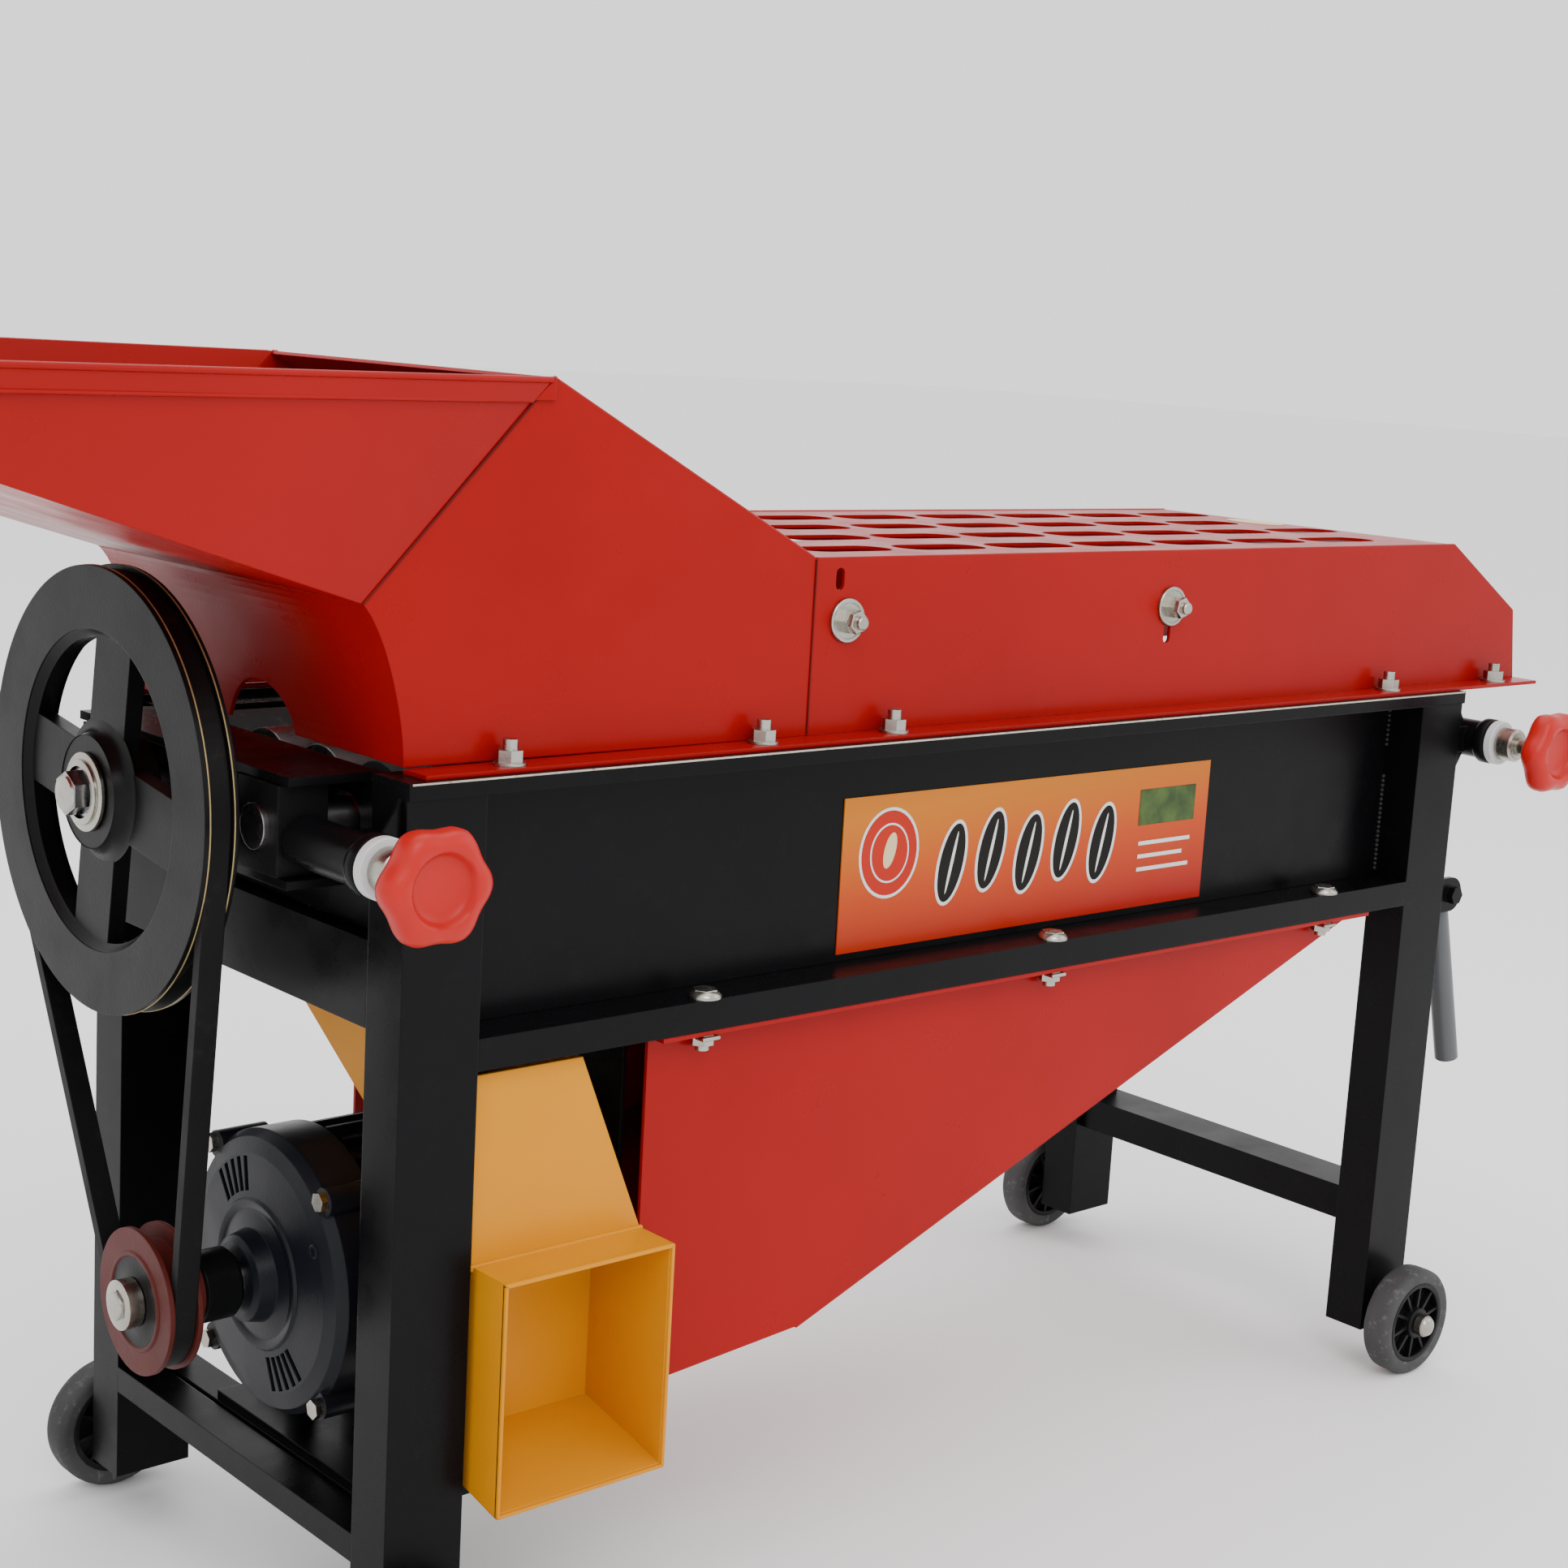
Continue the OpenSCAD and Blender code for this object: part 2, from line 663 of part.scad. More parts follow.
// the husk tray: two side panels with a bolted flange and a sloping floor that ends over an open mouth
module husk_tray() color("#c8352c") placed() {
    both_sides() {
        along_y(tray_y, tray_y + sheet) polygon(tray_outline);
        difference() {
            box([tray_x0, 1, 440], [1019, tray_y + sheet, rail_z0 - 0.5]);
            for (x = rail_bolt_x) translate([x, rail_bolt_y, 430]) cylinder(h = 20, d = 10.4);
        }
    }
    along_y(tray_y + sheet, frame_w - tray_y - sheet)
        polygon([[1019, 440], [372, 194], [372, 190.8], [1027.4, 440]]);
}

// corners of the chute's duct at height z, set in by t, with its rear wall at y1
function duct(z, t, y1) = let (
    r = (z - chute_z1) / (chute_top_z - chute_z1),
    x1 = chute_x1 + (chute_top_x1 - chute_x1) * r - 1.08 * t,
    y0 = chute_back_y + 2 * r + t
) [[chute_x0 + t, y0, z], [x1, y0, z], [x1, y1, z], [chute_x0 + t, y1, z]];

// the grain chute: a slanted duct behind the rail that ends in a box with its mouth to the front
module grain_chute() color("#e0a52a") placed() {
    knee = 331;
    y_low = 60;
    y_top = 225;
    run_y = (y_top - y_low) / (chute_top_z - knee);
    skin = sheet * sqrt(1 + run_y * run_y);
    difference() {
        union() {
            along_x(chute_x0, chute_x1) polygon([
                [chute_mouth_y, chute_z0], [y_low, 165], [y_low, chute_z1], [chute_mouth_y, chute_z1]
            ]);
            block(duct(chute_z1, 0, y_low), duct(knee, 0, y_low));
            block(duct(knee, 0, y_low), duct(chute_top_z, 0, y_top));
        }
        along_x(chute_x0 + sheet, chute_x1 - sheet) polygon([
            [chute_mouth_y - 10, chute_z0 + 1], [y_low - sheet, 167.6],
            [y_low - sheet, chute_z1 - sheet], [chute_mouth_y - 10, chute_z1 - sheet]
        ]);
        block(duct(chute_z1 - 10, sheet, y_low - sheet), duct(knee + 1.5, sheet, y_low - sheet));
        block(duct(knee, sheet, y_low - skin), duct(chute_top_z + 10, sheet, y_top - skin + 10 * run_y));
    }
    // tab that hangs the chute from the rail
    box([chute_x0 - 4, 12, 412], [chute_x0 + 1, 36, rail_z0]);
}

module divider_plate() color("#1f1f22") placed()
    box([chute_x1 + 4, web_y + 4, 200], [chute_x1 + 7, frame_w - web_y - 4, rail_z0 - 4]);

module label_plate() color("#e0742a") placed() box([402, web_y - 1, 472], [820, web_y, 590]);

module guide_boards() color("#2a2a2e") placed() both_sides()
    along_x(leg_x + 4, frame_l - leg_x - 4) polygon([
        [web_y + wall, 626], [web_y + wall + 3, 626], [web_y + wall + 3, 630],
        [70, 630], [70, 633], [web_y + wall, 633]
    ]);

// ---------- press feed ----------

module press_rods() color("#b9bcc0") placed() for (x = press_x) {
    bar_y(20, frame_w - 20, x, press_z, 12);
    both_sides() {
        hex_y(x, 20, press_z, 7, 19);
        bar_y(27, wall_y, x, press_z, 26);
    }
}

module press_flap(x) {
    difference() {
        union() {
            bar_y(46, frame_w - 46, x, press_z, 22);
            box([x - 2, 46, 652], [x + 2, frame_w - 46, press_z - 4]);
        }
        bar_y(40, frame_w - 40, x, press_z, 12.2);
    }
}

module press_flap_left() color("#303033") placed() press_flap(press_x[0]);
module press_flap_right() color("#303033") placed() press_flap(press_x[1]);

// ---------- fasteners ----------

module panel_bolts() color("#b9bcc0") placed() both_sides() {
    for (x = stud_x) {
        over = x < frame_l ? 14 : 2;
        translate([x, stud_y, channel_top - over]) cylinder(h = over + 20, d = 10);
        hex_z(x, stud_y, flange_z + 2, 8, 18);
        translate([x, stud_y, flange_z]) cylinder(h = 2, d = 22);
        if (x < frame_l) hex_z(x, stud_y, channel_top - wall - 7, 7, 18);
    }
    for (x = rail_bolt_x) {
        translate([x, rail_bolt_y, 428]) cylinder(h = rail_z1 - 428, d = 10);
        hex_z(x, rail_bolt_y, rail_z1, 6, 18);
        hex_z(x, rail_bolt_y, 432, 8, 17);
    }
}

module axle_bolts() color("#b9bcc0") placed() both_sides() both_ends() {
    x = leg_x / 2;
    z = wheel_d / 2;
    bar_y(-50, 22, x, z, axle_d);
    bar_y(-51, -44, x, z, 20);
    bar_y(-12, 0, x, z, 20);
    hex_y(x, wall, z, 8, 20);
}

// ---------- wheels ----------

// a wheel turned as one piece with its tread; the web is thinner than the rim and the hub
module wheel() {
    r = wheel_d / 2;
    translate([leg_x / 2, -13, r]) rotate([90, 0, 0]) rotate_extrude() polygon([
        [axle_d / 2 + 0.08, 0], [14, 0], [14, 9], [34, 9], [34, 1], [r - 4, 0], [r, 4],
        [r, wheel_w - 4], [r - 4, wheel_w], [34, wheel_w - 1], [34, wheel_w - 9],
        [14, wheel_w - 9], [14, wheel_w], [axle_d / 2 + 0.08, wheel_w]
    ]);
}

module wheel_front_left() color("#3c3d40") placed() at_corner(false, false) wheel();
module wheel_front_right() color("#3c3d40") placed() at_corner(false, true) wheel();
module wheel_rear_left() color("#3c3d40") placed() at_corner(true, false) wheel();
module wheel_rear_right() color("#3c3d40") placed() at_corner(true, true) wheel();

// ---------- tow handle ----------

module handle_bracket() color("#26262a") placed() {
    for (y = [4, 35]) difference() {
        union() {
            box([frame_l, y, handle_z - 16], [handle_x, y + 5, handle_z + 16]);
            bar_y(y, y + 5, handle_x, handle_z, 32);
        }
        bar_y(y - 1, y + 6, handle_x, handle_z, 10);
    }
    bar_y(2, 40, handle_x, handle_z, 10);
    hex_y(handle_x, -3, handle_z, 7, 17);
}

module tow_handle() color("#7b8084") placed() translate([handle_x, handle_y, handle_z]) difference() {
    union() {
        bar_y(-12, 12, 0, 0, 26);
        rotate([0, 180 - handle_tilt, 0]) cylinder(h = handle_l, d = 22);
    }
    bar_y(-13, 13, 0, 0, 10.1);
    rotate([0, 180 - handle_tilt, 0]) translate([0, 0, 16]) cylinder(h = handle_l, d = 17);
}

left_legs();
right_legs();
side_panel_front();
side_panel_rear();
side_rails();
crossbeams();
lower_braces();
motor_plate();
end_plate_left();
end_plate_right();
feed_hopper();
throat_housing();
roller_cover();
husk_tray();
grain_chute();
divider_plate();
label_plate();
guide_boards();
drive_belt();
roller_bearings();
adjuster_tubes();
press_rods();
panel_bolts();
axle_bolts();
motor_housing();
motor_end_bell();
motor_fan_cover();
terminal_box();
motor_bolts();
handle_bracket();
main_roller();
drive_pulley();
main_gear();
inner_roller();
inner_gear();
front_bearing_blocks();
front_roller_shaft();
front_roller_sleeve();
front_gear();
rear_bearing_blocks();
rear_roller_shaft();
rear_roller_sleeve();
rear_gear();
motor_rotor();
motor_pulley();
knob_front_left();
knob_front_right();
knob_rear_left();
knob_rear_right();
screw_front_left();
screw_front_right();
screw_rear_left();
screw_rear_right();
wheel_front_left();
wheel_front_right();
wheel_rear_left();
wheel_rear_right();
press_flap_left();
press_flap_right();
tow_handle();
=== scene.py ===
import math

import bmesh
import bpy
from mathutils import Matrix, Vector


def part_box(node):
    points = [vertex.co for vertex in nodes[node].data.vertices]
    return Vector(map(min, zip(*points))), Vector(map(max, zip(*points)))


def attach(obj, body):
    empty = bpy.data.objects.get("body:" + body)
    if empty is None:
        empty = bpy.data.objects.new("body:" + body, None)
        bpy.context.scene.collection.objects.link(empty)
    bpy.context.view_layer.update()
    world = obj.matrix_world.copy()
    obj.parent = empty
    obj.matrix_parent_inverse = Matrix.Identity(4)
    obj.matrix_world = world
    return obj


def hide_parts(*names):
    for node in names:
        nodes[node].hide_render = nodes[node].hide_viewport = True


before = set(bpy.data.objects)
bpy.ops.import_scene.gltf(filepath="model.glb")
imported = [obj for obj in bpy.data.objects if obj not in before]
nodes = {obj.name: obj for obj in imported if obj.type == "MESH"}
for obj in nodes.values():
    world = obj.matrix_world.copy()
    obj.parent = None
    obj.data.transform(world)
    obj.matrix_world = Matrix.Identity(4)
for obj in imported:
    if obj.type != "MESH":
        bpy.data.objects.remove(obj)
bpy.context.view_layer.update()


# ---------------------------------------------------------------- places

MM = 0.001
MID_X = 410.5   # the stand's front left corner, seen from the row's origin
MID_Y = 205.0


def P(x, y, z):
    """A point given in millimetres from the stand's front left corner, in the row frame."""
    return Vector(((x - MID_X) * MM, (y - MID_Y) * MM, z * MM))


# places on the stand, in millimetres from its front left corner
DEPTH = 410.0
SCREW_X = {"left": -30, "right": 1160}
SCREW_Z = 592
WHEEL_X = {"left": 30, "right": 1100}
WHEEL_Z = 50
DRIVE_Y, DRIVE_Z = 241, 598
MOTOR_Y, MOTOR_Z = 175, 262
RAIL_BOLT_X = (255, 610, 960)
PRESS_X = (387, 745)
PRESS_Z = 723
LABEL_FACE_Y = 35
COVER_TOP = 768


# ---------------------------------------------------------------- materials

def new_material(name):
    """A new node material, its tree and its shader."""
    mat = bpy.data.materials.new(name)
    mat.use_nodes = True
    tree = mat.node_tree
    return mat, tree, tree.nodes["Principled BSDF"]


def add(tree, kind, **values):
    """A new node with some of its properties or inputs set."""
    node = tree.nodes.new(kind)
    for key, value in values.items():
        if hasattr(node, key):
            setattr(node, key, value)
        else:
            node.inputs[key].default_value = value
    return node


def noise(tree, scale, detail=3.0, rough=0.55):
    """The value of a noise texture in the object's own space."""
    coords = add(tree, "ShaderNodeTexCoord")
    tex = add(tree, "ShaderNodeTexNoise")
    tex.inputs["Scale"].default_value = scale
    tex.inputs["Detail"].default_value = detail
    tex.inputs["Roughness"].default_value = rough
    tree.links.new(coords.outputs["Object"], tex.inputs["Vector"])
    return tex.outputs["Fac"]


def ramp(tree, source, low, high, a, b):
    """Carries a value from the range low..high to the range a..b."""
    r = add(tree, "ShaderNodeMapRange")
    r.inputs["From Min"].default_value = low
    r.inputs["From Max"].default_value = high
    r.inputs["To Min"].default_value = a
    r.inputs["To Max"].default_value = b
    tree.links.new(source, r.inputs["Value"])
    return r.outputs["Result"]


def mix(tree, fac, a, b):
    """Mixes two colours by fac; each is a constant or the output of another node."""
    m = add(tree, "ShaderNodeMix", data_type="RGBA")
    for key, colour in (("A", a), ("B", b)):
        if hasattr(colour, "is_linked"):
            tree.links.new(colour, m.inputs[key])
        else:
            m.inputs[key].default_value = (*colour, 1)
    tree.links.new(fac, m.inputs["Factor"])
    return m.outputs["Result"]


def surface(name, base, dark, rough, metallic=0.0, grain=40.0, bump=0.1, fine=900.0,
            coat=0.0, edge=0.0012, spread=0.08, dust=None, specular=0.5):
    """A painted, moulded or metal surface.

    Its colour drifts from base to dark, its roughness varies, and its edges are softened.
    """
    mat, tree, bsdf = new_material(name)
    drift = ramp(tree, noise(tree, grain * 0.12, 4.0), 0.35, 0.7, 0.0, 1.0)
    colour = mix(tree, drift, base, dark)
    if dust:
        speck = ramp(tree, noise(tree, grain * 1.4, 6.0, 0.7), 0.56, 0.74, 0.0, dust[1])
        colour = mix(tree, speck, colour, dust[0])
    tree.links.new(colour, bsdf.inputs["Base Color"])
    rough_out = ramp(tree, noise(tree, grain * 0.5, 5.0, 0.6), 0.3, 0.75, rough - spread, rough + spread)
    tree.links.new(rough_out, bsdf.inputs["Roughness"])
    bsdf.inputs["Metallic"].default_value = metallic
    bsdf.inputs["Specular IOR Level"].default_value = specular
    bsdf.inputs["Coat Weight"].default_value = coat
    bsdf.inputs["Coat Roughness"].default_value = 0.12
    bevel = add(tree, "ShaderNodeBevel", samples=4)
    bevel.inputs["Radius"].default_value = edge
    b = add(tree, "ShaderNodeBump")
    b.inputs["Strength"].default_value = bump
    b.inputs["Distance"].default_value = 0.0004
    tree.links.new(noise(tree, fine, 2.0), b.inputs["Height"])
    tree.links.new(bevel.outputs["Normal"], b.inputs["Normal"])
    tree.links.new(b.outputs["Normal"], bsdf.inputs["Normal"])
    return mat


DUST = (0.32, 0.28, 0.22)
M = {
    "red": surface(
        "red_enamel", (0.300, 0.0008, 0.0008), (0.262, 0.0006, 0.0006), 0.33, coat=0.04,
        bump=0.05, dust=((0.32, 0.006, 0.005), 0.04), specular=0.12),
    "black": surface(
        "black_enamel", (0.0022, 0.0022, 0.0027), (0.0038, 0.0038, 0.0046), 0.30, bump=0.10,
        dust=(DUST, 0.006), specular=0.09),
    "yellow": surface(
        "yellow_enamel", (0.62, 0.245, 0.0012), (0.56, 0.205, 0.001), 0.34, coat=0.04, bump=0.08,
        dust=((0.42, 0.17, 0.006), 0.10), specular=0.12),
    "motor": surface(
        "motor_enamel", (0.0045, 0.005, 0.008), (0.007, 0.0078, 0.011), 0.36, bump=0.25,
        fine=420, dust=(DUST, 0.015), specular=0.16),
    "casting": surface(
        "casting_lacquer", (0.003, 0.003, 0.0034), (0.006, 0.006, 0.006), 0.42, bump=0.4,
        fine=350, dust=(DUST, 0.02), specular=0.12),
    "pulley": surface(
        "pulley_paint", (0.0032, 0.0033, 0.0036), (0.0055, 0.0056, 0.006), 0.34, bump=0.25,
        fine=500, dust=(DUST, 0.012), specular=0.12),
    "primer": surface(
        "primer_coat", (0.085, 0.011, 0.008), (0.058, 0.008, 0.006), 0.45, bump=0.35, fine=500,
        dust=((0.02, 0.016, 0.016), 0.4), specular=0.15),
    "steel": surface(
        "turned_steel", (0.42, 0.42, 0.43), (0.30, 0.29, 0.28), 0.30, metallic=1.0, bump=0.15,
        dust=((0.16, 0.11, 0.07), 0.25)),
    "zinc": surface(
        "zinc_plate", (0.44, 0.43, 0.39), (0.32, 0.30, 0.25), 0.28, metallic=1.0, grain=160,
        bump=0.15, edge=0.0006, dust=((0.16, 0.13, 0.08), 0.35)),
    "gear": surface(
        "greased_gear_steel", (0.26, 0.26, 0.27), (0.12, 0.11, 0.10), 0.34, metallic=1.0,
        bump=0.2, dust=((0.03, 0.025, 0.02), 0.6)),
    "sleeve": surface(
        "roller_rubber", (0.022, 0.022, 0.023), (0.034, 0.033, 0.031), 0.62, bump=0.4, fine=300,
        dust=(DUST, 0.2), specular=0.2),
    "belt": surface(
        "belt_rubber", (0.0032, 0.0032, 0.0035), (0.0055, 0.0055, 0.0055), 0.5, bump=0.4,
        fine=600, dust=(DUST, 0.02), specular=0.12),
    # painted highlight: the bright line of light on the rims of the big pulley's groove
    "flange_highlight": surface(
        "painted_flange_highlight", (0.50, 0.38, 0.16), (0.34, 0.25, 0.11), 0.40, metallic=0.5, grain=220,
        bump=0.2),
    "knob": surface(
        "knob_plastic", (0.44, 0.010, 0.008), (0.39, 0.008, 0.006), 0.34, bump=0.06, edge=0.002,
        dust=((0.48, 0.08, 0.06), 0.08), specular=0.22),
    "tread": surface(
        "tread_rubber", (0.035, 0.035, 0.037), (0.066, 0.066, 0.067), 0.72, grain=90, bump=0.6,
        fine=300, dust=((0.20, 0.195, 0.18), 0.6), specular=0.2),
    "hub": surface(
        "hub_plastic", (0.004, 0.004, 0.0045), (0.007, 0.007, 0.0075), 0.42, bump=0.25,
        dust=(DUST, 0.03), specular=0.14),
    "tube": surface(
        "grey_lacquer", (0.075, 0.079, 0.083), (0.095, 0.10, 0.106), 0.36, bump=0.15,
        dust=(DUST, 0.04), specular=0.3),
    # painted highlight along the folded panel edges, flecked with dark specks of dirt
    "bright": surface(
        "painted_edge_highlight", (0.60, 0.55, 0.46), (0.42, 0.38, 0.32), 0.38, metallic=0.6, grain=160,
        dust=((0.06, 0.05, 0.05), 0.8)),
    "weld": surface(
        "weld_bead", (0.018, 0.018, 0.017), (0.034, 0.032, 0.030), 0.45, bump=0.9, fine=300,
        specular=0.2),
    "seam": surface(
        "seam_sealer", (0.12, 0.004, 0.0035), (0.07, 0.003, 0.0025), 0.5, grain=120, bump=0.4,
        specular=0.12),
    "white": surface(
        "white_print", (0.72, 0.72, 0.69), (0.64, 0.64, 0.61), 0.40, bump=0.03, specular=0.15),
    "pale": surface(
        "pale_sticker", (0.68, 0.54, 0.30), (0.62, 0.47, 0.25), 0.42, bump=0.03, specular=0.15),
    "ink": surface(
        "black_print", (0.006, 0.005, 0.005), (0.010, 0.008, 0.007), 0.42, bump=0.03,
        specular=0.10),
    "red_ink": surface(
        "red_print", (0.44, 0.020, 0.009), (0.38, 0.016, 0.008), 0.40, bump=0.03, specular=0.12),
    "green": surface(
        "green_print", (0.07, 0.115, 0.030), (0.026, 0.046, 0.018), 0.42, grain=400, bump=0.03,
        specular=0.12),
    "washer": surface(
        "white_bush", (0.58, 0.58, 0.58), (0.50, 0.50, 0.50), 0.38, bump=0.05, specular=0.25),
}


def label_material():
    """A printed panel that fades from orange at the top to red at the foot."""
    mat, tree, bsdf = new_material("label_print")
    low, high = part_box("label_plate")
    coords = add(tree, "ShaderNodeTexCoord")
    split = add(tree, "ShaderNodeSeparateXYZ")
    tree.links.new(coords.outputs["Object"], split.inputs["Vector"])
    up = ramp(tree, split.outputs["Z"], low.z, high.z, 0.0, 1.0)
    along = ramp(tree, split.outputs["X"], low.x, high.x, 0.16, -0.10)
    total = add(tree, "ShaderNodeMath", operation="ADD")
    tree.links.new(up, total.inputs[0])
    tree.links.new(along, total.inputs[1])
    fade = add(tree, "ShaderNodeValToRGB")
    stops = fade.color_ramp.elements
    stops[0].position = 0.0
    stops[0].color = (0.34, 0.006, 0.0015, 1)
    stops[1].position = 1.0
    stops[1].color = (0.52, 0.155, 0.004, 1)
    middle = stops.new(0.5)
    middle.color = (0.46, 0.050, 0.003, 1)
    tree.links.new(total.outputs[0], fade.inputs["Fac"])
    tree.links.new(fade.outputs["Color"], bsdf.inputs["Base Color"])
    tree.links.new(ramp(tree, noise(tree, 30, 4), 0.3, 0.7, 0.28, 0.42), bsdf.inputs["Roughness"])
    bsdf.inputs["Specular IOR Level"].default_value = 0.15
    bsdf.inputs["Coat Weight"].default_value = 0.05
    return mat


M["label"] = label_material()

FINISH = {
    "red": ("feed_hopper", "throat_housing", "roller_cover", "husk_tray"),
    "yellow": ("grain_chute",),
    "label": ("label_plate",),
    "motor": ("motor_housing", "motor_end_bell", "motor_fan_cover", "terminal_box"),
    "casting": ("roller_bearings", "front_bearing_blocks", "rear_bearing_blocks"),
    "pulley": ("drive_pulley",),
    "primer": ("motor_pulley",),
    "belt": ("drive_belt",),
    "steel": ("main_roller", "inner_roller", "front_roller_shaft", "rear_roller_shaft", "motor_rotor"),
    "gear": ("main_gear", "inner_gear", "front_gear", "rear_gear"),
    "sleeve": ("front_roller_sleeve", "rear_roller_sleeve", "press_flap_left", "press_flap_right"),
    "zinc": ("press_rods", "panel_bolts", "axle_bolts", "motor_bolts", "screw_front_left",
             "screw_front_right", "screw_rear_left", "screw_rear_right"),
    "tube": ("tow_handle",),
    "knob": ("knob_front_left", "knob_front_right", "knob_rear_left", "knob_rear_right"),
    "tread": ("wheel_front_left", "wheel_front_right", "wheel_rear_left", "wheel_rear_right"),
}
finish_of = {node: key for key, members in FINISH.items() for node in members}
for name, obj in nodes.items():
    obj.data.materials.clear()
    obj.data.materials.append(M[finish_of.get(name, "black")])


# ---------------------------------------------------------------- mesh helpers

def piece(name, bm, mat, body, smooth=None, bevel=0.0):
    """Makes an object of bm, in the row frame, that moves with a CAD body."""
    mesh = bpy.data.meshes.new(name)
    bmesh.ops.recalc_face_normals(bm, faces=bm.faces)
    bm.to_mesh(mesh)
    bm.free()
    obj = bpy.data.objects.new(name, mesh)
    bpy.context.scene.collection.objects.link(obj)
    mesh.materials.append(M[mat])
    if bevel:
        mod = obj.modifiers.new("bevel", "BEVEL")
        mod.width = bevel
        mod.segments = 3
        mod.limit_method = "ANGLE"
    if smooth:
        mesh.shade_smooth()
        mesh.set_sharp_from_angle(angle=math.radians(smooth))
    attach(obj, body)
    return obj


def add_box(bm, low, high):
    """A box between two corners given in millimetres from the stand's front left corner."""
    a, b = P(*low), P(*high)
    size = b - a
    made = bmesh.ops.create_cube(bm, size=1.0)
    bmesh.ops.transform(bm, verts=made["verts"],
                        matrix=Matrix.Translation((a + b) / 2) @ Matrix.Diagonal((*size, 1)))
    return made["verts"]


def add_prism(bm, points, depth):
    """A flat outline of row-frame points carried by depth."""
    base = [bm.verts.new(p) for p in points]
    top = [bm.verts.new(Vector(p) + Vector(depth)) for p in points]
    n = len(points)
    bm.faces.new(base)
    bm.faces.new(list(reversed(top)))
    for i in range(n):
        j = (i + 1) % n
        bm.faces.new((base[j], base[i], top[i], top[j]))


def add_lathe(bm, profile, origin, axis, steps=64):
    """Turns a profile of (radius, distance along axis), in millimetres, about an axis through origin."""
    turn = Vector((0, 0, 1)).rotation_difference(Vector(axis)).to_matrix().to_4x4()
    place = Matrix.Translation(origin) @ turn
    rings = []
    for r, h in profile:
        ring = []
        for k in range(1 if r < 1e-6 else steps):
            t = 2 * math.pi * k / steps
            local = Vector((r * MM * math.cos(t), r * MM * math.sin(t), h * MM))
            ring.append(bm.verts.new(place @ local))
        rings.append(ring)
    for a, b in zip(rings, rings[1:]):
        for k in range(steps):
            j = (k + 1) % steps
            if len(a) == 1 and len(b) == 1:
                continue
            if len(a) == 1:
                bm.faces.new((a[0], b[k], b[j]))
            elif len(b) == 1:
                bm.faces.new((a[j], a[k], b[0]))
            else:
                bm.faces.new((a[j], a[k], b[k], b[j]))


def add_hex(bm, origin, axis, across, height, turn=0.0):
    """A hexagon head or nut with a chamfered top."""
    basis = Vector((0, 0, 1)).rotation_difference(Vector(axis)).to_matrix().to_4x4()
    place = Matrix.Translation(origin) @ basis @ Matrix.Rotation(turn, 4, "Z")
    r = across / 2 / math.cos(math.pi / 6)
    rings = []
    for scale, h in ((1.0, 0.0), (1.0, 0.86), (0.88, 1.0)):
        ring = []
        for k in range(6):
            t = k * math.pi / 3
            local = Vector((r * MM * scale * math.cos(t), r * MM * scale * math.sin(t), h * height * MM))
            ring.append(bm.verts.new(place @ local))
        rings.append(ring)
    bm.faces.new(rings[0])
    bm.faces.new(list(reversed(rings[-1])))
    for a, b in zip(rings, rings[1:]):
        for k in range(6):
            j = (k + 1) % 6
            bm.faces.new((a[j], a[k], b[k], b[j]))


def rod(bm, a, b, r, steps=12):
    """A round rod between two row-frame points, r in millimetres."""
    a, b = Vector(a), Vector(b)
    length = (b - a).length / MM
    add_lathe(bm, [(0, 0), (r, 0), (r, length), (0, length)], a, (b - a).normalized(), steps)


# ---------------------------------------------------------------- knobs

def knob(name, x, side):
    """A moulded knob with six lobes, a dished face and a stepped back."""
    out = -1 if side == "front" else 1
    y_far = -90 if side == "front" else 500
    face = -18 if side == "front" else 428
    lobes_round = 6
    knob_r = 38.0
    lobe_depth = 0.105
    bm = bmesh.new()
    steps = 96
    # (share of the lobed radius, distance from the far face, strength of the lobes)
    rings = [(0.0, 7.5, 0.0), (0.38, 7.5, 0.0), (0.50, 6.8, 0.0), (0.555, 4.4, 0.0), (0.59, 1.4, 0.0),
             (0.63, 0.1, 0.2), (0.76, 0.4, 0.8), (0.88, 1.9, 1.0), (0.95, 4.2, 1.0), (1.0, 8.5, 1.0),
             (1.0, 15.5, 1.0), (0.965, 19.5, 1.0), (0.86, 22.6, 1.0), (0.66, 24.4, 0.8), (0.50, 25.0, 0.2),
             (0.44, 29.8, 0.0), (0.22, 30.0, 0.0)]
    loops = []
    for share, depth, lobes in rings:
        y = y_far - out * depth
        if share == 0.0:
            loops.append([bm.verts.new(P(x, y, SCREW_Z))])
            continue
        loop = []
        for k in range(steps):
            t = 2 * math.pi * k / steps
            r = knob_r * share * (1 - lobe_depth * lobes * (1 - math.cos(lobes_round * t)) / 2)
            loop.append(bm.verts.new(P(x + r * math.cos(t), y, SCREW_Z + r * math.sin(t))))
        loops.append(loop)
    for a, b in zip(loops, loops[1:]):
        for k in range(steps):
            j = (k + 1) % steps
            if len(a) == 1:
                bm.faces.new((a[0], b[k], b[j]))
            else:
                bm.faces.new((a[j], a[k], b[k], b[j]))
    bm.faces.new(loops[-1])
    obj = piece(name + "_moulding", bm, "knob", name, smooth=50)
    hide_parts(name)

    # nut and bush between the tube and the knob
    bm = bmesh.new()
    add_lathe(bm, [(8.2, 1), (19, 1), (20, 2), (20, 8), (19, 9), (8.2, 9)],
              P(x, face, SCREW_Z), (0, out, 0), 48)
    piece(name + "_bush", bm, "washer", name, smooth=40)
    bm = bmesh.new()
    add_lathe(bm, [(8.2, 9), (14, 9), (15, 10), (15, 24), (13, 26), (8.2, 26)],
              P(x, face, SCREW_Z), (0, out, 0), 48)
    piece(name + "_collar", bm, "zinc", name, smooth=40)


for side in ("front", "rear"):
    for end, x in SCREW_X.items():
        knob(f"knob_{side}_{end}", x, side)


# ---------------------------------------------------------------- wheels

